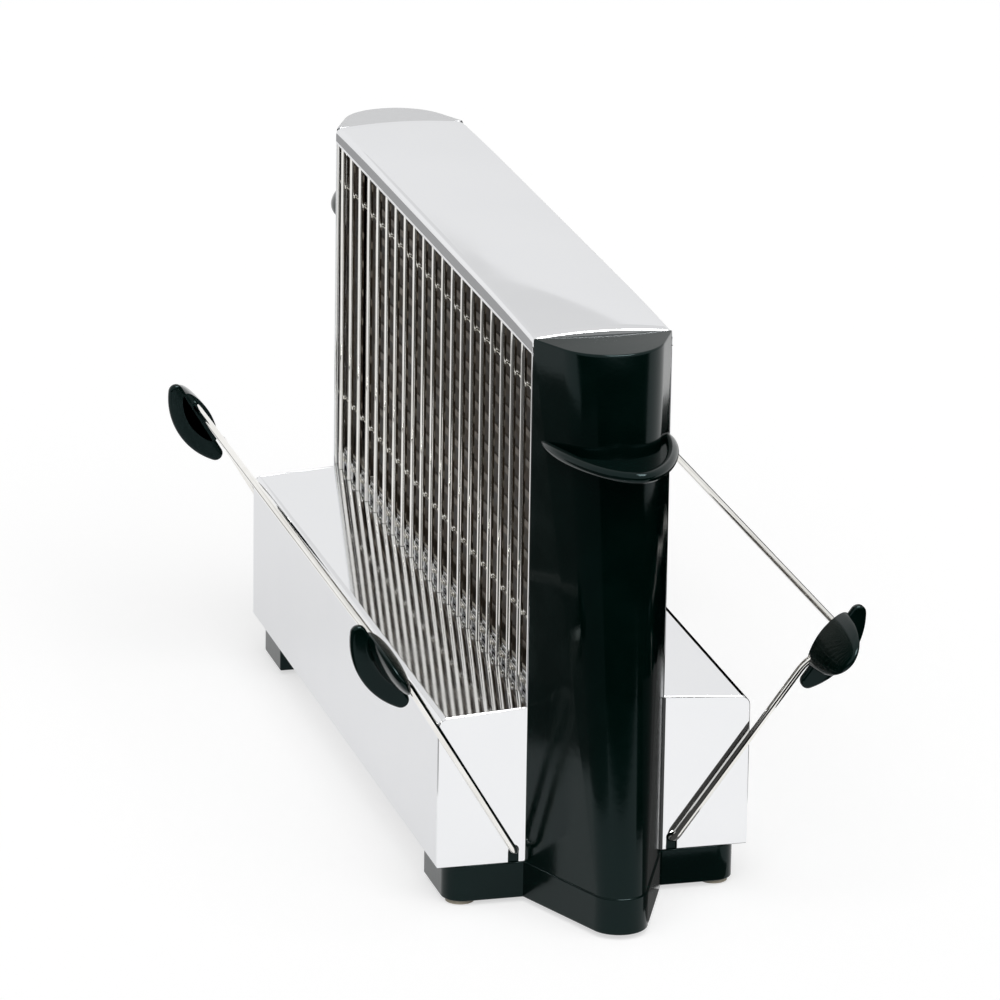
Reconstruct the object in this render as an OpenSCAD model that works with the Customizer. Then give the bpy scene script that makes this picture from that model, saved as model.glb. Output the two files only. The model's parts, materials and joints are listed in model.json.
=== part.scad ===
// Vertical toaster for rolls and bread: a heated tower between two drop-down wire racks.
// Frame: X across the toaster, Y along it, Z up. The origin is on the surface that the
// pads stand on, under the middle of the base. Near is -Y and left is -X. Millimetres.

/* [Base box] */
// Length between the outer faces of the two end plates
base_l = 260; // [220:1:320]
// Width between the outer faces of the two sides
base_w = 104; // [96:1:130]
// Height of a side, up to where the lines of side and ledge cross
side_h = 50.7; // [40:0.1:70]
// Rise of the ledge from the side to the tower's face
ledge_rise = 1.9; // [0.5:0.1:5]
// Outer radius of the long top edges
edge_r = 3.2; // [2:0.1:6]
// Thickness of the polished sheet
sheet_t = 0.8; // [0.5:0.1:1.2]
// Height of the ledge's upturned inner flange
ledge_flange_h = 5; // [3:0.5:8]

/* [Tower] */
// Width of the tower over the cap's flanges
tower_w = 46; // [42:1:56]
// Height of the cap's side corners above the base's lower edge
tower_h = 176.6; // [150:0.1:205]
// Rise of the cap's arched top
cap_arch = 1.4; // [0.5:0.1:4]
// Depth of the cap's side flanges
flange_h = 6; // [4:0.5:10]
// Outer radius of the cap's long edges
cap_edge_r = 2; // [1.4:0.1:4]

/* [Grilles] */
// Number of upright wires in one grille
grille_count = 21; // [12:1:26]
// Diameter of an upright wire
grille_d = 2; // [1.6:0.1:2.4]
// Diameter of a cross wire
cross_d = 1.6; // [1.2:0.1:2]
// Distance of the first upright wire from the end plate's outer face
grille_margin = 4.2; // [3:0.1:8]
// Height of the lowest cross wire above the ledge
cross_low_h = 3; // [2:0.5:6]
// Height of the middle cross wire above the ledge
cross_mid_h = 26; // [15:1:50]
// Drop of the top cross wire below the cap's flange
cross_top_drop = 15; // [8:1:40]

/* [End columns] */
// Step of a column's sides in from the tower's faces
column_inset = 0.3; // [0.1:0.1:3]
// Reach of a column from the end plate at its top
column_top_reach = 22.8; // [16:0.2:30]
// Radius of a column's nose at its top
column_top_nose_r = 18.5; // [12:0.5:20]
// Reach of a column from the end plate at its foot
column_foot_reach = 39.5; // [30:0.5:50]
// Radius of a column's nose at its foot
column_foot_nose_r = 9.2; // [5:0.1:14]
// Drop of the column's flat top below the cap's side corners
column_drop = 0.8; // [0.2:0.1:3]
// Width of the rounded edge at the front of the column's flat top
shoulder_w = 0.8; // [0.5:0.1:4]
// Height of the rounded edge round the column's flat top
shoulder_h = 0.8; // [0.5:0.1:4]
// Width of the rounded edge at the sides of the column's flat top
shoulder_side = 0.3; // [0.2:0.1:1.5]
// Wall of a column
column_wall = 2.2; // [1.6:0.1:3]

/* [Finger lips] */
// Drop of the rim's middle line below the column's top
lip_drop = 32.9; // [25:0.1:60]
// Half width of the rim's middle line at its back
lip_half = 20.2; // [18:0.1:21]
// Distance of the rim's back ends from the end plate
lip_back = 4.4; // [2:0.1:8]
// Length of the rim's middle line from its back ends to its nose
lip_l = 42.2; // [34:0.1:46]
// Fullness of the rim's outline: 2 is an ellipse, less is more pointed
lip_power = 1.68; // [1.5:0.01:2]
// Diameter of the lip's round rim
lip_rim_d = 3.8; // [3:0.1:5]
// Depth of the lip's dish below the rim's middle line
lip_dish = 0.6; // [0.2:0.1:1.2]

/* [Feet] */
// Height of the base box above the table
base_z = 13.7; // [12:0.1:22]
// Length of a foot along the toaster
foot_l = 29; // [22:0.5:45]
// Step of a foot in from the side of the base
foot_inset = 3.2; // [1:0.1:8]
// Radius of a foot's outer corner
foot_corner_r = 7; // [3:0.5:12]
// Wall of the foot moulding
foot_wall = 2.4; // [1.8:0.1:3.2]
// Step of the foot moulding's nose and flanks beyond the column's
plinth_step = 0.5; // [0.2:0.1:2]
// Diameter of a pad
pad_d = 9.5; // [7:0.5:12]
// Height that a pad stands below its foot
pad_h = 1.4; // [0.5:0.1:4]
// Distance of a pad's middle from its foot's outer faces
pad_inset = 6.2; // [6:0.1:9]
// Depth of the recess that holds a pad
pad_recess = 1.2; // [0.6:0.1:2]

/* [Racks] */
// Diameter of the rack wire
wire_d = 2.4; // [2:0.1:2.6]
// Distance of a pivot outside the tower's face
pivot_gap = 3.5; // [2.8:0.1:10]
// Height of the pivots above the base's lower edge
pivot_h = 4.2; // [3.8:0.1:8]
// Lean of the left rack from upright
left_lean = 31.1; // [0:0.1:80]
// Lean of the right rack from upright
right_lean = 36.6; // [0:0.1:80]
// Length of a rack's arm from the pivot to the long wire
arm_l = 87.4; // [70:0.1:105]
// Distance of an arm's wire outside the end plate
arm_gap = 2.5; // [2.2:0.1:5]
// Outward set of the long wire from the arm's line
arm_set = 1.5; // [1.2:0.1:5]
// Height of the sloping stretch that makes the set
set_h = 5; // [3:0.1:8]
// Straight wire between the set and the corner
set_rise = 7.6; // [1:0.1:12]
// Radius of the wire's bend at the pivot
pivot_bend_r = 2.4; // [1.6:0.1:2.4]
// Radius of the wire's bend at the corner
corner_bend_r = 4; // [3:0.1:6]
// Clearance round the wire in an end plate's keyhole slot, on the radius
slot_clear = 0.45; // [0.3:0.05:0.9]
// Running clearance round a pivot, on the radius
pivot_clear = 0.06; // [0.03:0.01:0.1]
// Outer radius of a pivot lug
lug_r = 3.4; // [2.8:0.1:3.8]
// Length of a pivot lug
lug_l = 7; // [5:0.5:12]
// Diameter of a push-on retainer
retainer_d = 6; // [5:0.1:7]
// Thickness of a push-on retainer
retainer_t = 1; // [0.6:0.1:1.5]

/* [Rack grips] */
// Length of a grip's blade
grip_l = 32.6; // [26:0.1:40]
// Width of a grip's blade
grip_w = 9.9; // [8:0.1:14]
// Thickness of a grip's blade
grip_t = 3; // [2.8:0.1:4]
// Radius of the blade's tips
grip_tip_r = 2.6; // [1.5:0.1:3]
// Distance of the blade's middle below the long wire
grip_drop = 6.3; // [3:0.1:10]
// Distance of the blade's straight edge outside the arm's line
grip_shift = 2; // [1:0.1:4]
// Length of a grip's fin along the arm
fin_l = 20.6; // [16:0.1:26]
// Thickness of the fin at its root
fin_w = 6.8; // [6:0.1:9]
// Reach of the fin from the wire, out along the toaster
fin_reach = 24; // [14:0.5:30]
// Distance of the fin's middle below the long wire
fin_drop = 5.2; // [3:0.1:9]
// Outward shift of the fin's middle from the arm's line
fin_shift = 2; // [1:0.1:3]

/* [Heating element] */
// Gap between the element rails and the flanges of the ledges
rail_gap = 2.8; // [2.4:0.1:5]
// Width of a rail's lip outside a board
rail_lip = 1.4; // [1:0.1:2]
// Thickness of a mica board
board_t = 1; // [0.6:0.1:1.4]
// Gap between a board's edge and the end plate
board_end_gap = 6; // [4:0.5:12]
// Number of runs of heating ribbon on one board
ribbon_runs = 11; // [5:2:15]
// Width of the ribbon
ribbon_w = 2.4; // [1.5:0.1:4]
// Thickness of the ribbon
ribbon_t = 0.4; // [0.3:0.1:0.6]
// Thickness of the reflector between the boards
reflector_t = 0.6; // [0.4:0.1:1]
// Height of an element rail
rail_h = 5; // [4:0.5:7]
// Depth of the grooves in the rails
groove_d = 2; // [1:0.1:2.5]
// Height of the lower rail's top above the ledge at the tower
rail_lift = 1; // [0:0.5:4]
// Drop of the upper rail's top below the cap's side corners
rail_drop = 3; // [2:0.5:8]

/* [Wiring] */
// Length of the terminal block along the toaster
block_l = 26; // [20:1:36]
// Width of the terminal block
block_w = 16; // [12:1:24]
// Height of the terminal block
block_h = 12; // [9:0.5:16]
// Distance of the terminal block's middle from the far end plate
block_inset = 45; // [35:1:70]
// Diameter of a lead
lead_d = 1.6; // [1.2:0.1:2]
// Bore of the mains lead's bush
bush_bore = 6.6; // [5:0.1:8]
// Outer diameter of the bush in its hole
bush_d = 9.6; // [8.5:0.1:12]
// Width of the bush's flange round its hole
bush_rim = 1.4; // [1:0.1:2]
// Thickness of the bush's flange
bush_flange_t = 1.6; // [1:0.1:2.5]
// Height of the bush's axis above the base's lower edge
bush_h = 11; // [9:0.5:18]

/* [Fasteners] */
// Diameter of a screw's shank
screw_d = 2.5; // [2:0.1:3.5]
// Diameter of a screw's head
head_d = 5; // [4:0.1:6.5]
// Height of a screw's head
head_h = 1.8; // [1.2:0.1:2.5]
// Room between a foot screw's head and the walls beside it
head_gap = 1; // [0.5:0.1:2]
// Depth of the columns' screw holes
pilot_l = 10; // [7:0.5:14]
// Height of the columns' lower screws above the base's lower edge
low_screw_h = 32; // [26:1:45]
// Height of the columns' upper screws above the base's lower edge
high_screw_h = 112; // [90:1:125]

/* [Hidden] */
// Smoothness of round forms, and the steps of a column's nose and shoulder, a lip and a fin
$fn = 64;
nose_steps = 28;
shoulder_steps = 3;
lip_steps = 36;
fin_steps = 8;
lens_steps = 6;
// Clearance between fixed pieces that slide together
fit = 0.1;
// Overlap that makes a cut pass right through, and the height of a loft's end land
cut = 1;
land = 0.4;

black = [0.02, 0.04, 0.04];
bright = [0.92, 0.93, 0.94];
polished = [0.87, 0.87, 0.88];
plain_steel = [0.72, 0.72, 0.74];
wire_metal = [0.82, 0.81, 0.78];
ceramic = [0.88, 0.85, 0.8];
mica = [0.62, 0.52, 0.38];
ribbon_metal = [0.45, 0.42, 0.4];
brass = [0.8, 0.64, 0.33];
sleeve = [0.85, 0.85, 0.8];
rubber = [0.05, 0.05, 0.05];
pale_rubber = [0.72, 0.66, 0.55];

end_y = base_l / 2;
inner_y = end_y - sheet_t;
inner_l = 2 * inner_y;
half_w = base_w / 2;
tower_half = tower_w / 2;
tower_z = base_z + tower_h;
side_top = base_z + side_h;
ledge_slope = ledge_rise / (half_w - tower_half);
ledge_stretch = sqrt(1 + ledge_slope * ledge_slope);
function ledge_z(x, inset = 0) = side_top + (half_w - x) * ledge_slope - inset * ledge_stretch;

cap_r = (tower_half * tower_half + cap_arch * cap_arch) / (2 * cap_arch);
cap_centre_z = tower_z + cap_arch - cap_r;
flange_z = tower_z - flange_h;

grille_x = tower_half - sheet_t - fit - grille_d / 2;
cross_x = grille_x - grille_d / 2 - cross_d / 2 + fit;
grille_pitch = (base_l - 2 * grille_margin) / (grille_count - 1);
grille_bottom = ledge_z(grille_x - grille_d / 2) + fit / 4;
grille_top = tower_z - cap_edge_r - sheet_t;
ledge_in = cross_x - cross_d / 2 - fit - sheet_t;

column_half = tower_half - column_inset;
column_top = tower_z - column_drop;
column_height = column_top - base_z;
lip_z = column_top - lip_drop;
lip_r = lip_rim_d / 2;

foot_half = half_w - foot_inset;
foot_in_y = end_y - foot_l;
pad_x = foot_half - pad_inset;
pad_y = end_y - pad_inset;
pad_boss_r = pad_d / 2 + foot_wall / 2;

wire_r = wire_d / 2;
pivot_x = tower_half + pivot_gap;
pivot_z = base_z + pivot_h;
slot_r = wire_r + slot_clear;
arm_y = end_y + arm_gap;
lug_in_y = inner_y - lug_l;
retainer_gap = 0.3;
retainer_y = lug_in_y - retainer_gap - retainer_t;
journal_end = retainer_y - retainer_t / 2;
set_z = arm_l - corner_bend_r - set_rise - set_h;
// How much the wire swells where it is kinked at the set
kink_swell = 0.03;
half_wire_l = arm_y - corner_bend_r;
grip_z = arm_l - grip_drop;
fin_z = arm_l - fin_drop;
grip_clear = 0.05;

rail_half = ledge_in - rail_gap;
board_x = rail_half - rail_lip - board_t / 2;
rail_low_z = ledge_z(tower_half) + rail_lift - rail_h;
rail_high_z = tower_z - rail_drop - rail_h;
board_low = rail_low_z + rail_h - groove_d + fit;
board_high = rail_high_z + groove_d - fit;
board_half = inner_y - board_end_gap;
ribbon_x = board_x + board_t / 2;
ribbon_low = rail_low_z + rail_h + 3 * ribbon_w;
ribbon_high = rail_high_z - 2 * ribbon_w;
ribbon_pitch = (ribbon_high - ribbon_low) / (ribbon_runs - 1);
// The far ends of the runs, and the strip that brings the last run back down
ribbon_far = board_half - 6 * ribbon_w;
return_y = board_half - 3 * ribbon_w;
ribbon_near = -board_half + 2 * ribbon_w;
tail_z = rail_low_z + rail_h - groove_d / 2;
tails = [ribbon_far - ribbon_w / 2, return_y];
notch_l = 3 * ribbon_w;

block_y = inner_y - block_inset;
block_z = base_z + sheet_t;
bush_z = base_z + bush_h;
bush_share = (bush_z - base_z) / column_height;
bush_nose = column_foot_reach + (column_top_reach - column_foot_reach) * bush_share;
bush_seat_y = bush_nose - column_wall / 4;
bush_flange_r = bush_d / 2 + bush_rim;
foot_screw_x = pivot_x + lug_r + head_d / 2 + head_gap;
foot_screw_y = foot_in_y + foot_wall + head_d / 2 + head_gap;
screw_r = screw_d / 2;
screw_heights = [base_z + low_screw_h, base_z + high_screw_h];
boss_screw_r = screw_r + 2;
earth_y = -block_y;

// Helpers

// Extrudes a profile drawn in X and Z along the toaster, centred on its middle
module along_y(length) {
    translate([0, length / 2, 0]) rotate([90, 0, 0]) linear_extrude(length) children();
}

// A round bar that points along +Y from its start
module bar_y(radius, length) {
    rotate([-90, 0, 0]) cylinder(r = radius, h = length);
}

// Draws the near end's piece at the far end
module far() {
    mirror([0, 1, 0]) children();
}

// Draws the right side's piece on the left
module left() {
    mirror([1, 0, 0]) children();
}

module both_sides() {
    children();
    left() children();
}

module both_ends() {
    children();
    far() children();
}

// Right half of the base's cross-section, shrunk by inset from the outer skin
module base_half(inset, bottom) {
    w = half_w - inset;
    r = edge_r - inset;
    centre_z = ledge_z(w - r, inset) - r * ledge_stretch;
    touch = [w - r + r * ledge_slope / ledge_stretch, centre_z + r / ledge_stretch];
    polygon([[0, bottom], [w, bottom], [w, centre_z], touch, [0, ledge_z(0, inset)]]);
    translate([w - r, centre_z]) circle(r);
}

// Cross-section of the cap, shrunk by inset from the outer skin and open below
module cap_section(inset, bottom) {
    r = cap_r - inset;
    w = tower_half - inset;
    e = cap_edge_r - inset;
    edge_z = cap_centre_z + sqrt((r - e) * (r - e) - (w - e) * (w - e));
    touch = (w - e) * r / (r - e);
    intersection() {
        translate([0, cap_centre_z]) circle(r, $fn = 256);
        translate([-touch, bottom]) square([2 * touch, tower_z + cap_arch - bottom]);
    }
    translate([-w, bottom]) square([2 * w, edge_z - bottom]);
    for (side = [-1, 1]) translate([side * (w - e), edge_z]) circle(e);
}

// Plan of a column: two straight sides that run tangent into a round nose, out along -Y
module prow(half, reach, nose_r) {
    centre = [0, nose_r - reach];
    corner = [half, 0];
    span = corner - centre;
    start = atan2(span.y, span.x) + asin(nose_r / norm(span)) - 90;
    sweep = -180 - 2 * start;
    nose = [for (i = [0 : nose_steps]) let (a = start + sweep * i / nose_steps)
        centre + nose_r * [cos(a), sin(a)]];
    polygon(concat([corner], nose, [[-half, 0]]));
}

// A pan-head screw along +Y, its head's underside at the start
module screw_y(length) {
    bar_y(screw_r, length);
    translate([0, -head_h, 0]) bar_y(head_d / 2, head_h);
}

// Feet

module foot_plan(wall) {
    translate([0, -end_y]) prow(column_half + plinth_step - wall, column_foot_reach + plinth_step - wall,
        column_foot_nose_r + plinth_step - wall);
    half = foot_half - wall;
    front = end_y - wall;
    back = foot_in_y + wall;
    r = foot_corner_r - wall;
    translate([-half, -front + r]) square([2 * half, front - r - back]);
    translate([r - half, -front]) square([2 * (half - r), front - back]);
    for (side = [-1, 1]) translate([side * (half - r), r - front]) circle(r);
    bridge = column_half - wall - cut;
    translate([-bridge, -end_y - cut]) square([2 * bridge, wall + 2 * cut]);
}

module pivot_lug() {
    translate([pivot_x, -inner_y, 0]) {
        translate([0, 0, pivot_z]) bar_y(lug_r, lug_l);
        translate([-lug_r, 0, base_z - foot_wall]) cube([2 * lug_r, lug_l, foot_wall + pivot_h]);
    }
}

module foot_moulding() {
    color(black) difference() {
        union() {
            difference() {
                translate([0, 0, pad_h]) linear_extrude(base_z - pad_h) foot_plan(0);
                linear_extrude(base_z - foot_wall) foot_plan(foot_wall);
            }
            both_sides() {
                pivot_lug();
                translate([pad_x, -pad_y, pad_h]) cylinder(r = pad_boss_r, h = base_z - pad_h);
            }
        }
        both_sides() {
            translate([pivot_x, -inner_y - cut, pivot_z])
                bar_y(wire_r + pivot_clear, lug_l + 2 * cut);
            translate([pad_x, -pad_y, 0]) cylinder(d = pad_d + fit, h = pad_h + pad_recess);
            translate([foot_screw_x, -foot_screw_y, 0]) cylinder(r = screw_r + fit, h = base_z + cut);
        }
    }
}

module foot_moulding_near() foot_moulding();
module foot_moulding_far() far() foot_moulding();

module foot_pads() {
    color(pale_rubber) both_ends() both_sides()
        translate([pad_x, -pad_y, 0]) cylinder(d = pad_d, h = pad_h + pad_recess);
}

module foot_screws() {
    color(plain_steel) both_ends() both_sides()
        translate([foot_screw_x, -foot_screw_y, base_z - foot_wall]) {
            cylinder(r = screw_r, h = foot_wall + 3 * sheet_t);
            translate([0, 0, -head_h]) cylinder(d = head_d, h = head_h);
        }
}

// End columns

// Plan of a column at its top, shrunk by wall and drawn in over the rounded edge by the given share
module column_top_plan(wall, share) {
    prow(column_half - wall - shoulder_side * share, column_top_reach - wall - shoulder_w * share,
        column_top_nose_r - wall + shoulder_w * share / 2);
}

// The lofted body of a column, shrunk by wall at its sides, nose and top
module column_body(wall, bottom) {
    top = column_top - wall;
    hull() {
        translate([0, -end_y, bottom]) linear_extrude(land)
            prow(column_half - wall, column_foot_reach - wall, column_foot_nose_r - wall / 2);
        for (i = [0 : shoulder_steps]) let (a = 90 * i / shoulder_steps)
            translate([0, -end_y, top - shoulder_h * (1 - sin(a)) - land]) linear_extrude(land)
                column_top_plan(wall, 1 - cos(a));
    }
}

// Outline of a lip, grown from the rim's middle line
module lip_plan(grow) {
    round_power = 2 / lip_power;
    side = [for (i = [0 : lip_steps]) let (a = 90 * i / lip_steps)
        [(lip_half + grow) * pow(cos(a), round_power),
         -lip_back - (lip_l + grow) * pow(sin(a), round_power)]];
    polygon(concat([[lip_half + grow, 0]], side, [[0, 0]]));
    mirror([1, 0]) polygon(concat([[lip_half + grow, 0]], side, [[0, 0]]));
}

// A shelf with a rounded edge and a shallow dish
module finger_lip() {
    edge = [-60, -30, 0, 30, 60];
    translate([0, -end_y, lip_z]) difference() {
        hull() for (a = edge)
            translate([0, 0, lip_r * sin(a) - land / 2]) linear_extrude(land) lip_plan(lip_r * cos(a));
        hull() {
            translate([0, 0, -lip_dish]) linear_extrude(land) lip_plan(-2 * lip_r);
            translate([0, 0, lip_r]) linear_extrude(cut) lip_plan(-lip_r);
        }
    }
}

module column_shell() {
    difference() {
        union() {
            column_body(0, base_z);
            finger_lip();
        }
        translate([0, 0, -land]) column_body(column_wall, base_z);
        translate([-half_w, -end_y, base_z - cut]) cube([base_w, base_l, tower_h + 2 * cut]);
    }
}

module screw_bosses() {
    intersection() {
        column_body(column_wall / 2, base_z);
        for (z = screw_heights)
            translate([0, -end_y - column_foot_reach, z]) bar_y(boss_screw_r, column_foot_reach);
    }
}

module column() {
    difference() {
        union() {
            column_shell();
            screw_bosses();
        }
        for (z = screw_heights) translate([0, -end_y - pilot_l, z]) bar_y(screw_r, pilot_l + cut);
    }
}

// The hole for the bush through the far column's nose, with a flat seat for the bush's flange
module bush_seat() {
    outside = column_foot_reach + cut;
    translate([0, -end_y - outside, bush_z]) {
        bar_y(bush_flange_r + fit, outside - bush_seat_y);
        bar_y(bush_d / 2 + fit, outside);
    }
}

module column_near() color(black) column();

module column_far() color(black) far() difference() {
    column();
    bush_seat();
}

// Thin bright plate that lies on the far column's flat top
module column_top_plate_far() {
    color(polished) far() translate([0, -end_y, column_top])
        linear_extrude(column_drop / 2) column_top_plan(0, 1);
}

module column_screws() {
    color(plain_steel) both_ends() for (z = screw_heights)
        translate([0, -inner_y, z]) mirror([0, 1, 0]) screw_y(pilot_l);
}

// Base box and tower

module end_plate() {
    color(bright) translate([0, -end_y, 0]) rotate([90, 0, 0]) mirror([0, 0, 1])
        linear_extrude(sheet_t) difference() {
            union() {
                both_sides_2d() base_half(0, base_z);
                translate([-tower_half, base_z]) square([tower_w, flange_z - fit - base_z]);
                cap_section(sheet_t + fit, base_z);
            }
            both_sides_2d() {
                translate([pivot_x, pivot_z]) circle(slot_r);
                translate([pivot_x - slot_r, base_z - cut]) square([2 * slot_r, pivot_h + cut]);
            }
            for (z = screw_heights) translate([0, z]) circle(screw_r + fit);
        }
}

module both_sides_2d() {
    children();
    mirror([1, 0]) children();
}

module end_plate_near() end_plate();

// The far plate also has the hole through which the mains lead reaches the terminal block
module end_plate_far() color(bright) far() difference() {
    end_plate();
    translate([0, -end_y - cut, bush_z]) bar_y(bush_bore / 2, sheet_t + 2 * cut);
}

module base_side() {
    color(polished) along_y(inner_l) {
        difference() {
            base_half(0, base_z);
            base_half(sheet_t, base_z - cut);
            translate([-cut, base_z - cut]) square([ledge_in + cut, tower_z]);
        }
        translate([ledge_in, ledge_z(ledge_in) - sheet_t]) square([sheet_t, ledge_flange_h + sheet_t]);
    }
}

module base_side_right() base_side();
module base_side_left() left() base_side();

module bottom_plate() {
    lug_room = lug_r + 4 * fit;
    half = half_w - sheet_t;
    color(plain_steel) difference() {
        translate([-half, -inner_y, base_z]) cube([2 * half, inner_l, sheet_t]);
        both_ends() both_sides() {
            translate([pivot_x - lug_room, -inner_y - cut, base_z - cut])
                cube([2 * lug_room, inner_y - journal_end + 2 * cut, sheet_t + 2 * cut]);
            translate([foot_screw_x, -foot_screw_y, base_z - cut])
                cylinder(r = screw_r, h = sheet_t + 2 * cut);
        }
        translate([0, earth_y, base_z - cut]) cylinder(r = screw_r, h = sheet_t + 2 * cut);
    }
}

module top_cap() {
    color(bright) along_y(base_l) difference() {
        cap_section(0, flange_z);
        cap_section(sheet_t, flange_z - cut);
    }
}

module grille() {
    cross_heights = [grille_bottom + cross_low_h, grille_bottom + cross_mid_h, flange_z - cross_top_drop];
    color(wire_metal) {
        for (i = [0 : grille_count - 1])
            translate([grille_x, grille_margin - end_y + i * grille_pitch, grille_bottom])
                cylinder(d = grille_d, h = grille_top - grille_bottom);
        for (z = cross_heights) translate([cross_x, -inner_y, z]) bar_y(cross_d / 2, inner_l);
    }
}

module grille_right() grille();
module grille_left() left() grille();

// Heating element

// Section of a rail with three grooves that open upwards
module rail_section() {
    difference() {
        translate([-rail_half, 0]) square([2 * rail_half, rail_h]);
        for (x = [-board_x, board_x])
            translate([x - board_t / 2 - fit, rail_h - groove_d]) square([board_t + 2 * fit, groove_d + cut]);
        translate([-reflector_t / 2 - fit, rail_h - groove_d]) square([reflector_t + 2 * fit, groove_d + cut]);
    }
}

module element_rail_lower() {
    color(ceramic) difference() {
        translate([0, 0, rail_low_z]) along_y(inner_l) rail_section();
        both_sides() for (y = tails)
            translate([ribbon_x - fit, y - notch_l / 2, rail_low_z - cut])
                cube([rail_half, notch_l, rail_h + 2 * cut]);
    }
}

module element_rail_upper() {
    color(ceramic) translate([0, 0, rail_high_z + rail_h]) mirror([0, 0, 1])
        along_y(inner_l) rail_section();
}

module reflector_plate() {
    color(plain_steel) translate([-reflector_t / 2, -board_half, board_low])
        cube([reflector_t, 2 * board_half, board_high - board_low]);
}

module mica_board() {
    color(mica) translate([board_x - board_t / 2, -board_half, board_low])
        cube([board_t, 2 * board_half, board_high - board_low]);
}

module mica_board_right() mica_board();
module mica_board_left() left() mica_board();

// One unbroken flat ribbon, laid to and fro over the board, with both tails at the bottom
module heater_ribbon() {
    half = ribbon_w / 2;
    color(ribbon_metal) translate([ribbon_x, 0, 0]) {
        for (i = [0 : ribbon_runs - 1]) {
            z = ribbon_low + i * ribbon_pitch;
            last = i == ribbon_runs - 1;
            stop = last ? return_y + half : ribbon_far;
            translate([0, ribbon_near, z - half]) cube([ribbon_t, stop - ribbon_near, ribbon_w]);
            y = i % 2 == 0 ? ribbon_near : ribbon_far - ribbon_w;
            if (!last) translate([0, y, z]) cube([ribbon_t, ribbon_w, ribbon_pitch]);
        }
        translate([0, tails[0] - half, tail_z]) cube([ribbon_t, ribbon_w, ribbon_low - tail_z]);
        translate([0, tails[1] - half, tail_z]) cube([ribbon_t, ribbon_w, ribbon_high - tail_z]);
    }
}

module heater_ribbon_right() heater_ribbon();
module heater_ribbon_left() left() heater_ribbon();

// Wiring

module terminal_block() {
    color(ceramic) translate([0, block_y, block_z]) difference() {
        translate([-block_w / 2, -block_l / 2, 0]) cube([block_w, block_l, block_h]);
        for (y = [-block_l / 4, block_l / 4]) translate([0, y, block_h / 2]) cylinder(r = screw_r, h = block_h);
    }
}

module terminal_screws() {
    color(brass) translate([0, block_y, block_z])
        for (y = [-block_l / 4, block_l / 4]) translate([0, y, block_h / 2]) {
            cylinder(r = screw_r, h = block_h / 2);
            translate([0, 0, block_h / 2]) cylinder(d = head_d, h = head_h);
        }
}

// Each lead drops from a ribbon's tail, then runs along and across to the terminal block
module lead_wires() {
    r = lead_d / 2;
    x = ribbon_x + ribbon_t + r;
    levels = [block_z + block_h * 0.7, block_z + block_h * 0.3];
    ends = [block_y + block_l / 4, block_y - block_l / 4];
    color(sleeve) both_sides() for (i = [0, 1]) {
        z = levels[i];
        translate([x, tails[i], z]) cylinder(r = r, h = tail_z + ribbon_w - z);
        translate([x, tails[i], z]) sphere(r);
        translate([x, ends[i], z]) bar_y(r, tails[i] - ends[i]);
        translate([x, ends[i], z]) sphere(r);
        translate([block_w / 2, ends[i], z]) rotate([0, 90, 0]) cylinder(r = r, h = x - block_w / 2);
    }
}

module earth_tag() {
    tag_w = head_d + 2;
    color(brass) translate([0, earth_y, base_z + sheet_t]) difference() {
        translate([-tag_w / 2, -tag_w / 2, 0]) cube([tag_w, 2 * tag_w, sheet_t]);
        translate([0, 0, -cut]) cylinder(r = screw_r, h = sheet_t + 2 * cut);
    }
}

module earth_screw() {
    color(brass) translate([0, earth_y, base_z]) {
        cylinder(r = screw_r, h = 2 * sheet_t);
        translate([0, 0, 2 * sheet_t]) cylinder(d = head_d, h = head_h);
    }
}

// Flanged bush in the far column's nose, where the mains lead goes in
module cord_bush() {
    tail = 3 * column_wall;
    color(rubber) far() translate([0, -end_y - bush_seat_y, bush_z]) difference() {
        union() {
            translate([0, -bush_flange_t, 0]) bar_y(bush_flange_r, bush_flange_t);
            bar_y(bush_d / 2, tail);
        }
        translate([0, -bush_flange_t - cut, 0]) bar_y(bush_bore / 2, bush_flange_t + tail + 2 * cut);
    }
}

// Racks, drawn upright with the pivot at the origin and outwards along +X

module bend(bend_r, r, angle) {
    rotate_extrude(angle = angle) translate([bend_r, 0]) circle(r);
}

// The arm's upper end: the outward set, the corner and a stretch of the long wire
module wire_corner(r, long_l) {
    translate([0, -arm_y, set_z]) {
        sphere(r + kink_swell);
        rotate([0, atan2(arm_set, set_h), 0]) cylinder(r = r, h = norm([arm_set, set_h]));
        translate([arm_set, 0, set_h]) {
            sphere(r + kink_swell);
            wire_top(r, long_l);
        }
    }
}

// The last upright stretch, the corner and a stretch of the long wire
module wire_top(r, long_l) {
    cylinder(r = r, h = set_rise);
    translate([0, corner_bend_r, set_rise]) {
        rotate([90, 0, -90]) bend(corner_bend_r, r, 90);
        translate([0, 0, corner_bend_r]) bar_y(r, long_l);
    }
}

module rack_wire() {
    color(wire_metal) {
        both_ends() {
            translate([0, pivot_bend_r - arm_y, 0]) bar_y(wire_r, arm_y - pivot_bend_r - journal_end);
            translate([0, pivot_bend_r - arm_y, pivot_bend_r]) rotate([0, 90, 180])
                bend(pivot_bend_r, wire_r, 90);
            translate([0, -arm_y, pivot_bend_r]) cylinder(r = wire_r, h = set_z - pivot_bend_r);
        }
        wire_corner(wire_r, half_wire_l + cut);
        far() wire_corner(wire_r, half_wire_l);
    }
}

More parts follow.
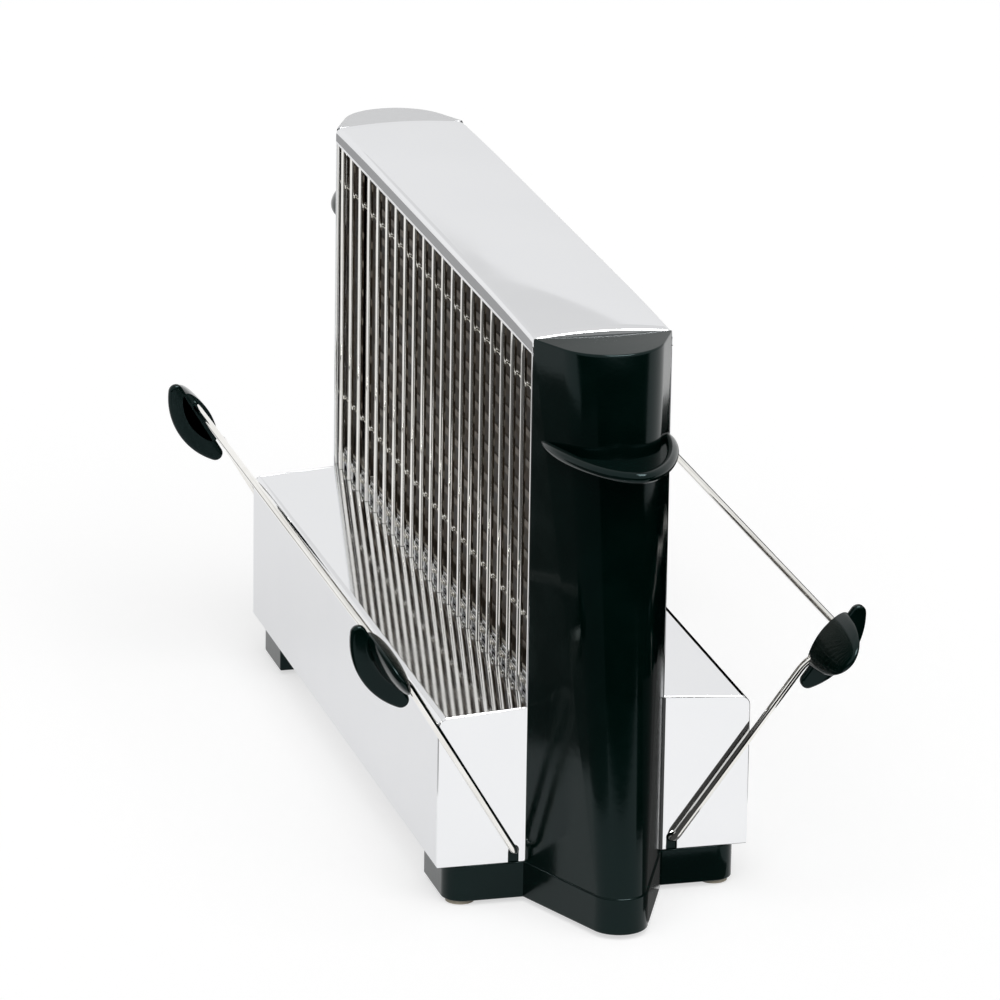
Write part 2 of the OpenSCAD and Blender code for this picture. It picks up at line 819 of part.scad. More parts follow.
// Blade outline: a half moon with rounded tips, its straight edge along Y and its arc towards +X
module blade() {
    half = grip_l / 2 - grip_tip_r;
    sag = grip_w - 2 * grip_tip_r;
    arc_r = (half * half + sag * sag) / (2 * sag);
    side_r = arc_r + grip_tip_r;
    reach = half + grip_tip_r * half / arc_r;
    intersection() {
        translate([grip_w - side_r, 0]) circle(side_r);
        union() {
            translate([0, -half]) square([grip_w, 2 * half]);
            translate([grip_tip_r, -reach]) square([grip_w, 2 * reach]);
        }
    }
    for (y = [-half, half]) translate([grip_tip_r, y]) circle(grip_tip_r);
}

// Outline between two shallow arcs that meet in points, its length along Y
module lens(length, width) {
    edge = [for (i = [-lens_steps : lens_steps]) let (s = i / lens_steps)
        [width / 2 * (1 - s * s), length / 2 * s]];
    polygon(edge);
    mirror([1, 0]) polygon(edge);
}

// The part of a grip that the fingers hold: lens-shaped sections that shrink towards a round end
module fin() {
    root = grip_t / 2;
    hull() {
        translate([0, root, 0]) rotate([90, 0, 0]) linear_extrude(root) lens(fin_l, fin_w);
        for (i = [0 : fin_steps]) let (a = 84 * i / fin_steps, share = pow(cos(a), 0.9))
            translate([0, land - fin_reach * sin(a), 0]) rotate([90, 0, 0]) linear_extrude(land)
                lens(fin_l * share, fin_w * share);
    }
}

module rack_grip() {
    color(black) difference() {
        union() {
            translate([grip_shift, grip_t / 2 - arm_y, grip_z]) rotate([90, 0, 0])
                linear_extrude(grip_t) blade();
            translate([fin_shift, -arm_y, fin_z]) fin();
        }
        wire_corner(wire_r + grip_clear, grip_l, $fn = 32);
        translate([0, -arm_y, 0]) cylinder(r = wire_r + grip_clear, h = set_z, $fn = 32);
    }
}

module retainers() {
    color(plain_steel) both_ends() translate([0, -retainer_y - retainer_t, 0]) difference() {
        bar_y(retainer_d / 2, retainer_t);
        translate([0, -cut, 0]) bar_y(wire_r, retainer_t + 2 * cut);
    }
}

module on_right_rack() {
    translate([pivot_x, 0, pivot_z]) rotate([0, right_lean, 0]) children();
}

module on_left_rack() {
    left() translate([pivot_x, 0, pivot_z]) rotate([0, left_lean, 0]) children();
}

module rack_wire_left() on_left_rack() rack_wire();
module rack_wire_right() on_right_rack() rack_wire();
module rack_grip_left_near() on_left_rack() rack_grip();
module rack_grip_left_far() on_left_rack() far() rack_grip();
module rack_grip_right_near() on_right_rack() rack_grip();
module rack_grip_right_far() on_right_rack() far() rack_grip();
module pivot_retainers_left() on_left_rack() retainers();
module pivot_retainers_right() on_right_rack() retainers();

foot_moulding_near();
foot_moulding_far();
column_near();
column_far();
column_top_plate_far();
end_plate_near();
end_plate_far();
base_side_left();
base_side_right();
bottom_plate();
top_cap();
grille_left();
grille_right();
element_rail_lower();
element_rail_upper();
reflector_plate();
mica_board_left();
mica_board_right();
heater_ribbon_left();
heater_ribbon_right();
terminal_block();
terminal_screws();
lead_wires();
earth_tag();
earth_screw();
cord_bush();
rack_wire_left();
rack_wire_right();
rack_grip_left_near();
rack_grip_left_far();
rack_grip_right_near();
rack_grip_right_far();
pivot_retainers_left();
pivot_retainers_right();
foot_pads();
foot_screws();
column_screws();
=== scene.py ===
"""Looks of an upright toaster: finishes, modelled skins, stage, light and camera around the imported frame.

The scene is in metres, in the frame's own axes: X across the toaster, Y along it, Z up. The skins' own sizes
are in millimetres, and become metres where their points are placed.
"""

import json
import math
from collections import namedtuple

import bmesh
import bpy
from mathutils import Matrix, Vector


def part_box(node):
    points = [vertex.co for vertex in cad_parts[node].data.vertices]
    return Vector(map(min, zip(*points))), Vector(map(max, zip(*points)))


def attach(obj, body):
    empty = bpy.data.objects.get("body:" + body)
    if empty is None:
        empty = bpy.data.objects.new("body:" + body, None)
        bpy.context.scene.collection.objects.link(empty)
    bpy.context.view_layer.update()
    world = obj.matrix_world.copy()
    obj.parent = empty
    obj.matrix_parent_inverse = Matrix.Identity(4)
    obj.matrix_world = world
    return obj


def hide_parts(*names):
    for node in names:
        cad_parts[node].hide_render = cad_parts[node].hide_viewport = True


MM = 0.001

# Camera, as fitted to the corners of the base and cap, in metres
VIEW_AZIMUTH = math.radians(15.292)
VIEW_ELEVATION = math.radians(18.005)
VIEW_ROLL = math.radians(0.893)
VIEW_DISTANCE = 2.4159
VIEW_TARGET = Vector((0.00266, 0.0, 0.0931))
LENS_MM = 258.5
SENSOR_MM = 36.0
CLIP_END = 100.0

# Meshes: points closer than the weld, in metres, become one, and edges sharper than the angle stay crisp
WELD = 1e-6
CRISP_ANGLE = math.radians(38)
GRIP_CRISP_ANGLE = math.radians(50)

# Column skins, in millimetres: the plan at the foot, the plan at the top and the rounded edge above it
FOOT_REACH = 39.5
FOOT_NOSE_R = 9.2
TOP_REACH = 22.8
TOP_NOSE_R = 18.5
SHOULDER_W = 0.8
SHOULDER_H = 0.8
SHOULDER_SIDE = 0.3
COLUMN_STEPS = 12
SHOULDER_STEPS = 6
NOSE_STEPS = 40

# Range of normals, in radians, over which a column's straight side is spread
SIDE_SPREAD = 0.004
SIDE_STEPS = 8

# Finger lips, in millimetres: the rim's middle line, a superellipse, and the shelf's faces below it
LIP_DROP = 32.9
LIP_HALF = 20.2
LIP_BACK = 4.4
LIP_POWER = 1.68
LIP_RIM_R = 1.9
SHELF_TOP = 0.6
SHELF_BOTTOM = 1.5
LIP_STEPS = 72
RIM_SIDES = 20

# How thin a lip's rim is at its ends, as a share of its radius, and over which share of its steps it tapers
LIP_END_SHARE = 0.35
LIP_TAPER = 0.17

# Cap skin, in millimetres: the arch, the rolled ends and how far the ends are pressed down
CAP_ARCH = 1.4
CAP_EDGE_R = 2.0
CAP_ROLL = 0.8
PILLOW_DROP = 0.7
PILLOW_L = 60.0
SHEET_T = 0.8
CAP_ROWS = 60
CAP_ARCH_STEPS = 40
CAP_EDGE_STEPS = 8
CAP_FLANGE_STEPS = 4

# Rows of points over a rolled end of the cap, as shares of the roll, closer where it bends more
ROLL_ROWS = (0.0, 0.15, 0.3, 0.5, 0.75, 1.0)

# Rounding of the sharp edges, in millimetres, and the angles that tell a flat face and a sharp edge
SOFT_EDGE = {"polished_steel": 0.3, "black_plastic": 0.5}
SOFTENED = ("end_plate_near", "end_plate_far", "base_side_left", "base_side_right",
            "foot_moulding_near", "foot_moulding_far")
SOFT_SEGMENTS = 3
ROUND_PROFILE = 0.5
FLAT_ANGLE = math.radians(0.5)
SHARP_ANGLE = math.radians(35)

# Rack wires, in millimetres: the journals, the arms with their outward set, and the corners
WIRE_R = 1.2
ARM_L = 87.4
ARM_GAP = 2.5
ARM_SET = 1.5
SET_H = 5.0
SET_RISE = 7.6
PIVOT_BEND_R = 2.4
CORNER_BEND_R = 4.0
SET_BEND_R = 15.0
JOURNAL_PAST = 1.5
BEND_STEPS = 12
WIRE_SIDES = 24

# Grip blades, in millimetres: shifted out from the arm's line, with the middle dropped from the arm's end
BLADE_L = 32.6
BLADE_W = 9.9
BLADE_T = 3.0
BLADE_TIP_R = 2.6
BLADE_EDGE_R = 1.1
BLADE_SHIFT = 2.0
BLADE_DROP = 6.3
BLADE_MIDDLE = ARM_L - BLADE_DROP
BLADE_STEPS = 12
BLADE_ARC_STEPS = 40
BLADE_TIP_STEPS = 14

# Grip fins, in millimetres, placed the same way: superelliptic sections that shrink towards the tip
FIN_L = 20.6
FIN_W = 6.8
FIN_REACH = 24.0
FIN_SHIFT = 2.0
FIN_DROP = 5.2
FIN_MIDDLE = ARM_L - FIN_DROP
FIN_POWER = 1.8
FIN_SHRINK_POWER = 0.9
FIN_TIP_TURN = math.radians(88)
FIN_FILLET = 1.5
FIN_STEPS = 22
FIN_SIDES = 64
FILLET_STEPS = 6

# Noise values between which a finish runs from one end of its range to the other
NOISE_LOW = 0.35
NOISE_HIGH = 0.65

# Stage, in metres
WHITE = (1, 1, 1, 1)
FLOOR_SIZE = 12.0
FLOOR_DROP = 0.0002
FLOOR_ALBEDO = 0.5
FLOOR_LIFT = 0.61
WORLD_DIFFUSE = 0.26
SKYLIGHT_ANGLE = math.radians(75)
SKYLIGHT_STRENGTH = 1.9
SKYLIGHT_PLACE = Vector((-0.1, -1.0, 1.9))

# Cards for the reflections, in metres: a corner and the two edges that leave it
Card = namedtuple("Card", "name brightness corner across up")
CARDS = (
    # Dark and upright, in front and at both sides
    Card("front_flag", 0.0, (-1.2, -0.42, 0.0), (2.4, 0, 0), (0, 0, 0.17)),
    Card("left_flag", 0.12, (-0.155, -0.35, 0.0), (0, 0.3, 0), (0, 0, 0.14)),
    Card("right_flag", 0.0, (0.125, -0.25, 0.0), (0, 0.6, 0), (0, 0, 0.115)),
    # Bright and level, high above the front
    Card("key_card", 14.0, (-0.1, -1.05, 1.55), (0.9, 0, 0), (0, 0.85, 0)),
    # Dark, close to the near column's right flank, one lying on the floor and one upright
    # The one on the floor is painted shade: the corner's contact shadow, seen only in reflections
    Card("corner_flag", 0.13, (0.012, -0.16, 0.0005), (0.05, 0, 0), (0, 0.029, 0)),
    Card("column_flag", 0.06, (0.0236, -0.1665, 0.0015), (0, 0.0362, 0), (0, 0, 0.0785)),
    # Grey, one lying on the floor at the back left and one upright far behind
    Card("flange_card", 0.42, (-0.42, 0.26, 0.002), (0.28, 0, 0), (0, 0.7, 0)),
    Card("high_card", 0.84, (-4.0, 3.0, 1.23), (8.0, 0, 0), (0, 0, 3.0)),
)


class Shader:
    """A principled material, with short calls that add nodes to it."""

    def __init__(self, name, **sockets):
        """Sets the named sockets, where an underscore stands for a space."""
        self.material = bpy.data.materials.new(name)
        self.material.use_nodes = True
        self.tree = self.material.node_tree
        self.bsdf = self.tree.nodes["Principled BSDF"]
        for socket, value in sockets.items():
            self.bsdf.inputs[socket.replace("_", " ")].default_value = value

    def node(self, kind):
        return self.tree.nodes.new("ShaderNode" + kind)

    def link(self, source, target):
        self.tree.links.new(source, target)

    def noise(self, scale, detail, stretch=(1, 1, 1)):
        """Noise over the object's own coordinates, drawn out where stretch is small."""
        place = self.node("TexCoord")
        mapping = self.node("Mapping")
        mapping.inputs["Scale"].default_value = stretch
        made = self.node("TexNoise")
        made.inputs["Scale"].default_value = scale
        made.inputs["Detail"].default_value = detail
        self.link(place.outputs["Object"], mapping.inputs["Vector"])
        self.link(mapping.outputs["Vector"], made.inputs["Vector"])
        return made.outputs["Fac"]

    def colour(self, noise, first, second):
        """A base colour that runs from first to second over the noise."""
        made = self.node("ValToRGB")
        stops = made.color_ramp.elements
        stops[0].position = NOISE_LOW
        stops[0].color = (*first, 1)
        stops[1].position = NOISE_HIGH
        stops[1].color = (*second, 1)
        self.link(noise, made.inputs["Fac"])
        self.link(made.outputs["Color"], self.bsdf.inputs["Base Color"])

    def roughness(self, noise, low, high):
        """A roughness that runs from low to high over the noise."""
        made = self.node("MapRange")
        made.inputs["From Min"].default_value = NOISE_LOW
        made.inputs["From Max"].default_value = NOISE_HIGH
        made.inputs["To Min"].default_value = low
        made.inputs["To Max"].default_value = high
        self.link(noise, made.inputs["Value"])
        self.link(made.outputs["Result"], self.bsdf.inputs["Roughness"])

    def bumps(self, *layers):
        """Stacks bump layers, each a height output and its depth in metres."""
        normal = None
        for height, depth in layers:
            made = self.node("Bump")
            made.inputs["Distance"].default_value = depth
            self.link(height, made.inputs["Height"])
            if normal is not None:
                self.link(normal, made.inputs["Normal"])
            normal = made.outputs["Normal"]
        self.link(normal, self.bsdf.inputs["Normal"])


def polished_steel():
    """Mirror-polished sheet: a faint wave, fine polishing lines and thin smudges."""
    shader = Shader("polished_steel", Metallic=1.0, Specular_Tint=(0.82, 0.82, 0.825, 1))
    smudge = shader.noise(scale=26, detail=4)
    lines = shader.noise(scale=900, detail=2, stretch=(1, 0.02, 1))
    wave = shader.noise(scale=7, detail=1)
    shader.colour(smudge, (0.858, 0.866, 0.88), (0.872, 0.879, 0.892))
    shader.roughness(smudge, low=0.035, high=0.075)
    shader.bumps((wave, 0.3 * MM), (lines, 0.0015 * MM))
    return shader.material


def satin_steel():
    """Brushed sheet of the far column's top plate, duller than the polished sheet."""
    shader = Shader("satin_steel", Metallic=1.0)
    lines = shader.noise(scale=900, detail=3, stretch=(0.02, 1, 1))
    shader.colour(lines, (0.50, 0.505, 0.515), (0.56, 0.565, 0.575))
    shader.roughness(lines, low=0.16, high=0.26)
    shader.bumps((lines, 0.004 * MM))
    return shader.material


def plain_steel():
    """Unpolished sheet and screws, with a drawn grain."""
    shader = Shader("plain_steel", Metallic=1.0)
    grain = shader.noise(scale=700, detail=3, stretch=(1, 0.05, 1))
    shader.colour(grain, (0.55, 0.55, 0.56), (0.68, 0.68, 0.69))
    shader.roughness(grain, low=0.26, high=0.42)
    shader.bumps((grain, 0.01 * MM))
    return shader.material


def bright_wire():
    """Drawn and plated wire, a little warmer than the sheet."""
    shader = Shader("bright_wire", Metallic=1.0)
    tone = shader.noise(scale=60, detail=3)
    ripple = shader.noise(scale=400, detail=2)
    shader.colour(tone, (0.80, 0.785, 0.745), (0.88, 0.87, 0.84))
    shader.roughness(tone, low=0.035, high=0.07)
    shader.bumps((ripple, 0.006 * MM))
    return shader.material


def black_plastic():
    """Glossy black moulding with a faint orange peel and handling marks in its gloss."""
    shader = Shader("black_plastic", Specular_IOR_Level=0.2, Specular_Tint=(0.7, 0.97, 1.0, 1))
    marks = shader.noise(scale=70, detail=4)
    peel = shader.noise(scale=420, detail=1)
    shader.colour(marks, (0.0004, 0.0048, 0.0036), (0.0008, 0.0064, 0.005))
    shader.roughness(marks, low=0.1, high=0.15)
    shader.bumps((peel, 0.012 * MM))
    return shader.material


def mica():
    """Dark brown board with flakes."""
    shader = Shader("mica", Specular_IOR_Level=0.12)
    flakes = shader.noise(scale=180, detail=5, stretch=(1, 0.6, 1))
    shader.colour(flakes, (0.012, 0.008, 0.005), (0.05, 0.034, 0.02))
    shader.roughness(flakes, low=0.3, high=0.5)
    shader.bumps((flakes, 0.08 * MM))
    return shader.material


def heater_alloy():
    """Ribbon darkened by its own heat."""
    shader = Shader("heater_alloy", Metallic=1.0)
    oxide = shader.noise(scale=300, detail=4)
    shader.colour(oxide, (0.11, 0.095, 0.08), (0.24, 0.21, 0.18))
    shader.roughness(oxide, low=0.35, high=0.55)
    return shader.material


def steatite():
    """Speckled pale ceramic."""
    shader = Shader("steatite")
    speck = shader.noise(scale=500, detail=4)
    shader.colour(speck, (0.62, 0.58, 0.5), (0.78, 0.74, 0.66))
    shader.roughness(speck, low=0.55, high=0.75)
    shader.bumps((speck, 0.03 * MM))
    return shader.material


def brass():
    """Brass with a patchy tarnish."""
    shader = Shader("brass", Metallic=1.0)
    tarnish = shader.noise(scale=220, detail=4)
    shader.colour(tarnish, (0.5, 0.36, 0.15), (0.76, 0.58, 0.28))
    shader.roughness(tarnish, low=0.2, high=0.4)
    return shader.material


def lead_sleeve():
    """Pale woven sleeve of the inner leads."""
    shader = Shader("lead_sleeve")
    braid = shader.noise(scale=1800, detail=2, stretch=(1, 0.4, 1))
    shader.colour(braid, (0.66, 0.64, 0.58), (0.84, 0.82, 0.76))
    shader.roughness(braid, low=0.6, high=0.8)
    shader.bumps((braid, 0.08 * MM))
    return shader.material


def bush_rubber():
    """Dull black rubber."""
    shader = Shader("bush_rubber", Specular_IOR_Level=0.35)
    grain = shader.noise(scale=600, detail=4)
    shader.colour(grain, (0.012, 0.012, 0.012), (0.026, 0.026, 0.026))
    shader.roughness(grain, low=0.5, high=0.65)
    shader.bumps((grain, 0.03 * MM))
    return shader.material


def pad_rubber():
    """Pale rubber of the foot pads."""
    shader = Shader("pad_rubber", Specular_IOR_Level=0.3)
    grain = shader.noise(scale=500, detail=4)
    shader.colour(grain, (0.52, 0.47, 0.37), (0.64, 0.58, 0.47))
    shader.roughness(grain, low=0.55, high=0.75)
    shader.bumps((grain, 0.04 * MM))
    return shader.material


FINISHES = (polished_steel, plain_steel, bright_wire, black_plastic, mica, heater_alloy, steatite, brass,
            lead_sleeve, bush_rubber, pad_rubber)


def dress_nodes(frame, materials):
    """Gives every node the finish that the record names for it, and the far top plate a duller one."""
    for subpart in frame["record"]["subparts"]:
        node = frame["nodes"][subpart["node"]]
        node.data.materials.clear()
        node.data.materials.append(materials[subpart["material_slot"]])
    top_plate = frame["nodes"]["column_top_plate_far"]
    top_plate.data.materials[0] = satin_steel()


def bridge(mesh, rings, closed):
    """Adds rows of points of equal count and the faces between them; closed rows join their ends."""
    made = [[mesh.verts.new(point) for point in ring] for ring in rings]
    count = len(rings[0])
    for low, high in zip(made, made[1:]):
        for i in range(count if closed else count - 1):
            j = (i + 1) % count
            mesh.faces.new((low[i], low[j], high[j], high[i]))
    return made


def loft(mesh, rings):
    """Adds a closed skin over rings of equal count, each a list of points, capped at both ends."""
    made = bridge(mesh, rings, closed=True)
    mesh.faces.new(made[0][::-1])
    mesh.faces.new(made[-1])


def skin(name, mesh, material, crisp=CRISP_ANGLE):
    """Turns a bmesh into a smooth-shaded object that stays crisp at edges sharper than the given angle."""
    bmesh.ops.recalc_face_normals(mesh, faces=mesh.faces)
    for face in mesh.faces:
        face.smooth = True
    for edge in mesh.edges:
        edge.smooth = edge.calc_face_angle(0.0) < crisp
    data = bpy.data.meshes.new(name)
    mesh.to_mesh(data)
    mesh.free()
    data.materials.append(material)
    made = bpy.data.objects.new(name, data)
    bpy.context.scene.collection.objects.link(made)
    return made


def stand_in(piece, body, node, slot):
    """Lets a piece ride on a body in place of a node, and hides the node. The slot argument is not used."""
    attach(piece, body)
    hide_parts(node)


def arc(centre, radius, start, end, steps):
    """Points round a centre, with angles in radians."""
    angles = [start + (end - start) * i / steps for i in range(steps + 1)]
    return [(centre[0] + radius * math.cos(a), centre[1] + radius * math.sin(a)) for a in angles]


def superellipse(angle, power):
    """A point of a superellipse with half axes of one."""
    across, along = math.cos(angle), math.sin(angle)
    return (math.copysign(abs(across) ** (2 / power), across),
            math.copysign(abs(along) ** (2 / power), along))


class Prow:
    """Plan of a column, as x and distance out from the end plate: straight sides tangent to a round nose."""

    def __init__(self, half, reach, nose_r):
        self.half = half
        self.nose_r = nose_r
        self.centre = reach - nose_r
        span = math.hypot(half, self.centre)
        self.side_angle = math.acos(nose_r / span) - math.atan2(self.centre, half)

    def point(self, angle):
        """The point whose outward normal has that angle; the side takes a narrow range of angles."""
        share = (angle - self.side_angle) / SIDE_SPREAD + 0.5
        if share <= 0:
            return (self.half, 0.0)
        if share >= 1:
            return self.nose_point(angle)
        touch = self.nose_point(self.side_angle)
        return (self.half + (touch[0] - self.half) * share, touch[1] * share)

    def nose_point(self, angle):
        """The point of the nose's circle at that angle."""
        return (self.nose_r * math.cos(angle), self.centre + self.nose_r * math.sin(angle))

    def side_stations(self):
        """Angles that share out the straight side evenly."""
        return [self.side_angle + SIDE_SPREAD * (i / SIDE_STEPS - 0.5) for i in range(SIDE_STEPS + 1)]


def column_plans(half):
    """Pairs of matching points of a column's plans at the foot and at the top, from right to left."""
    foot = Prow(half, FOOT_REACH, FOOT_NOSE_R)
    top = Prow(half, TOP_REACH, TOP_NOSE_R)
    first = min(foot.side_angle, top.side_angle)
    nose = [first + (math.pi / 2 - first) * i / NOSE_STEPS for i in range(NOSE_STEPS + 1)]
    angles = sorted(foot.side_stations() + top.side_stations() + nose)
    right = [(foot.point(angle), top.point(angle)) for angle in angles]
    left = [((-a[0], a[1]), (-b[0], b[1])) for a, b in reversed(right[:-1])]
    return right + left


def add_column(mesh, place, half, low_z, high_z):
    """Adds a column's body, a loft from plan to plan with a rounded edge on top."""
    pairs = column_plans(half)
    shoulder_z = high_z - SHOULDER_H * MM
    rings = []
    for step in range(COLUMN_STEPS + 1):
        share = step / COLUMN_STEPS
        plan = [tuple(p + (q - p) * share for p, q in zip(a, b)) for a, b in pairs]
        rings.append(place(plan, low_z + (shoulder_z - low_z) * share))
    for step in range(1, SHOULDER_STEPS + 1):
        turn = math.pi / 2 * step / SHOULDER_STEPS
        drawn_in = 1 - math.cos(turn)
        narrow = 1 - SHOULDER_SIDE / half * drawn_in
        shorter = 1 - SHOULDER_W / TOP_REACH * drawn_in
        plan = [(x * narrow, out * shorter) for _, (x, out) in pairs]
        rings.append(place(plan, high_z - SHOULDER_H * MM * (1 - math.sin(turn))))
    loft(mesh, rings)
    bmesh.ops.remove_doubles(mesh, verts=mesh.verts, dist=WELD)


def add_lip(mesh, place, length, z):
    """Adds a finger lip: a round rim that is thinner at its ends, and the shelf inside it."""
    path = []
    for step in range(LIP_STEPS + 1):
        across, out = superellipse(math.pi * step / LIP_STEPS, LIP_POWER)
        path.append((LIP_HALF * across, LIP_BACK + length * out))
    rim = []
    for i, (x, out) in enumerate(path):
        before, after = path[max(i - 1, 0)], path[min(i + 1, LIP_STEPS)]
        run = math.hypot(after[0] - before[0], after[1] - before[1])
        normal = ((after[1] - before[1]) / run, (before[0] - after[0]) / run)
        from_end = min(i, LIP_STEPS - i) / LIP_STEPS
        swell = math.sin(math.pi / 2 * min(1, from_end / LIP_TAPER))
        radius = LIP_RIM_R * (LIP_END_SHARE + (1 - LIP_END_SHARE) * swell)
        ring = []
        for reach, rise in arc((0, 0), radius, 0, 2 * math.pi, RIM_SIDES)[:-1]:
            ring += place([(x + normal[0] * reach, out + normal[1] * reach)], z + rise * MM)
        rim.append(ring)
    loft(mesh, rim)
    loft(mesh, [place(path, z - SHELF_BOTTOM * MM), place(path, z - SHELF_TOP * MM)])


def column_skin(end, material):
    """A smooth column with its finger lip: end is "near" or "far"."""
    low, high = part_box("column_" + end)
    sign = -1 if end == "near" else 1
    plate_y = high.y if end == "near" else low.y
    lip_l = (high.y - low.y) / MM - LIP_BACK - LIP_RIM_R

    def place(points, z):
        return [(x * MM, plate_y + sign * out * MM, z) for x, out in points]

    mesh = bmesh.new()
    add_column(mesh, place, high.x / MM, low.z, high.z)
    add_lip(mesh, place, lip_l, high.z - LIP_DROP * MM)
    made = skin("column_skin_" + end, mesh, material)
    stand_in(made, "frame", "column_" + end, "black_plastic")


def cap_rows(length):
    """Places along the cap, measured from its middle, at which its skin has a row of points."""
    roll = CAP_ROLL * MM
    inner = length - 2 * roll
    rolled = [-length / 2 + roll * share for share in ROLL_ROWS]
    between = [-length / 2 + roll + inner * i / CAP_ROWS for i in range(1, CAP_ROWS)]
    return rolled + between + [-y for y in reversed(rolled)]


def cap_section(half, low_z, top_z):
    """The cap's outline as x and z: up the right flange, over the arch and down the left flange."""
    arch = CAP_ARCH * MM
    radius = (half * half + arch * arch) / (2 * arch)
    edge = CAP_EDGE_R * MM
    flat = half - edge

    def arch_z(x):
        return top_z - radius + math.sqrt(radius * radius - x * x)

    edge_z = arch_z(flat) - edge
    flange = [(half, low_z + (edge_z - low_z) * k / CAP_FLANGE_STEPS) for k in range(CAP_FLANGE_STEPS)]
    right = flange + arc((flat, edge_z), edge, 0, math.pi / 2, CAP_EDGE_STEPS)[:-1]
    stations = [flat * (1 - 2 * i / CAP_ARCH_STEPS) for i in range(CAP_ARCH_STEPS + 1)]
    left = [(-x, z) for x, z in reversed(right)]
    return right + [(x, arch_z(x)) for x in stations] + left


def cap_skin(material):
    """The top sheet, slightly pressed down towards its ends, with the ends rolled over."""
    low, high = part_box("top_cap")
    length = high.y - low.y
    roll = CAP_ROLL * MM
    rings = []
    for y in cap_rows(length):
        from_end = length / 2 - abs(y)
        drop = PILLOW_DROP * MM * max(0.0, 1 - from_end / (PILLOW_L * MM)) ** 2
        if from_end < roll:
            drop += roll - math.sqrt(max(0.0, roll * roll - (roll - from_end) ** 2))
        rings.append([(x, y, z) for x, z in cap_section(high.x, low.z, high.z - drop)])
    mesh = bmesh.new()
    bridge(mesh, rings, closed=False)
    sheet = skin("cap_skin", mesh, material)
    thick = sheet.modifiers.new("thickness", "SOLIDIFY")
    thick.thickness = SHEET_T * MM
    thick.offset = -1
    stand_in(sheet, "frame", "top_cap", "polished_steel")


def soften(node, source, slot, material):
    """Stands in for a node with a copy of its mesh whose sharp outer edges are rounded over."""
    mesh = bmesh.new()
    mesh.from_mesh(source)
    bmesh.ops.remove_doubles(mesh, verts=mesh.verts, dist=WELD)
    bmesh.ops.dissolve_limit(mesh, angle_limit=FLAT_ANGLE, verts=mesh.verts, edges=mesh.edges)
    sharp = [edge for edge in mesh.edges if edge.is_convex and edge.calc_face_angle(0.0) > SHARP_ANGLE]
    bmesh.ops.bevel(mesh, geom=sharp, affect="EDGES", offset=SOFT_EDGE[slot] * MM, segments=SOFT_SEGMENTS,
                    profile=ROUND_PROFILE)
    made = skin(node + "_skin", mesh, material)
    made.modifiers.new("flat faces stay flat", "WEIGHTED_NORMAL").keep_sharp = True
    stand_in(made, "frame", node, slot)


def rounded(points, radii):
    """A path through points whose inner corners are rounded by arcs of the given radii."""
    path = [points[0]]
    for before, corner, after, radius in zip(points, points[1:], points[2:], radii):
        into = (corner - before).normalized()
        away = (after - corner).normalized()
        turn = into.angle(away)
        start = corner - into * radius * math.tan(turn / 2)
        spoke = (into * into.dot(away) - away).normalized() * radius
        axis = into.cross(away)
        for step in range(BEND_STEPS + 1):
            path.append(start - spoke + Matrix.Rotation(turn * step / BEND_STEPS, 3, axis) @ spoke)
    return path + [points[-1]]


def tube(mesh, path, radius):
    """Adds a round tube along a path, without twist."""
    across = (path[1] - path[0]).orthogonal()
    circle = arc((0, 0), radius, 0, 2 * math.pi, WIRE_SIDES)[:-1]
    rings = []
    for before, point, after in zip(path[:1] + path, path, path[1:] + path[-1:]):
        ahead = (after - before).normalized()
        across = (across - ahead * across.dot(ahead)).normalized()
        beside = ahead.cross(across)
        rings.append([point + across * a + beside * b for a, b in circle])
    loft(mesh, rings)


def rack_place(joint, offset, y, along):
    """A point of a rack at rest, from its offset out from the arm's line and its height along the arm."""
    pivot = Vector(joint["pos_m"])
    out = math.copysign(1, pivot.x)
    lean = -math.radians(joint["range_deg"][0])
    x = out * (offset * math.cos(lean) + along * math.sin(lean)) * MM
    z = (along * math.cos(lean) - offset * math.sin(lean)) * MM
    return Vector((pivot.x + x, y, pivot.z + z))


def arm_y():
    """Distance of the racks' arms from the middle of the toaster."""
    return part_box("end_plate_far")[1].y + ARM_GAP * MM


def rack_skin(side, joint, material):
    """A rack's bent wire: journal, arm, set, corner and long wire, and back to the other journal."""
    node = "rack_wire_" + side
    end_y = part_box("pivot_retainers_" + side)[1].y - JOURNAL_PAST * MM
    wire_y = arm_y()
    set_low = ARM_L - CORNER_BEND_R - SET_RISE - SET_H
    far = [(0, end_y, 0), (0, wire_y, 0), (0, wire_y, set_low), (ARM_SET, wire_y, set_low + SET_H),
           (ARM_SET, wire_y, ARM_L)]
    near = [(offset, -y, along) for offset, y, along in far]
    points = [rack_place(joint, *point) for point in near + far[::-1]]
    bends = [PIVOT_BEND_R * MM, SET_BEND_R * MM, SET_BEND_R * MM, CORNER_BEND_R * MM]
    mesh = bmesh.new()
    tube(mesh, rounded(points, bends + bends[::-1]), WIRE_R * MM)
    made = skin(node + "_skin", mesh, material)
    stand_in(made, "rack_" + side, node, "bright_wire")


def half_moon(inset):
    """Outline of a grip's blade, shrunk by inset: straight edge at zero, arc towards +x, length along y."""
    tip = BLADE_TIP_R - inset
    half = BLADE_L / 2 - BLADE_TIP_R
    sag = BLADE_W - 2 * BLADE_TIP_R
    centre_r = (half * half + sag * sag) / (2 * sag)
    lean = math.asin(half / centre_r)
    middle = BLADE_TIP_R + sag - centre_r
    outer = arc((middle, 0), centre_r + tip, -lean, lean, BLADE_ARC_STEPS)
    top = arc((BLADE_TIP_R, half), tip, lean, math.pi, BLADE_TIP_STEPS)
    bottom = arc((BLADE_TIP_R, -half), tip, -math.pi, -lean, BLADE_TIP_STEPS)
    return outer + top[1:] + bottom[:-1]


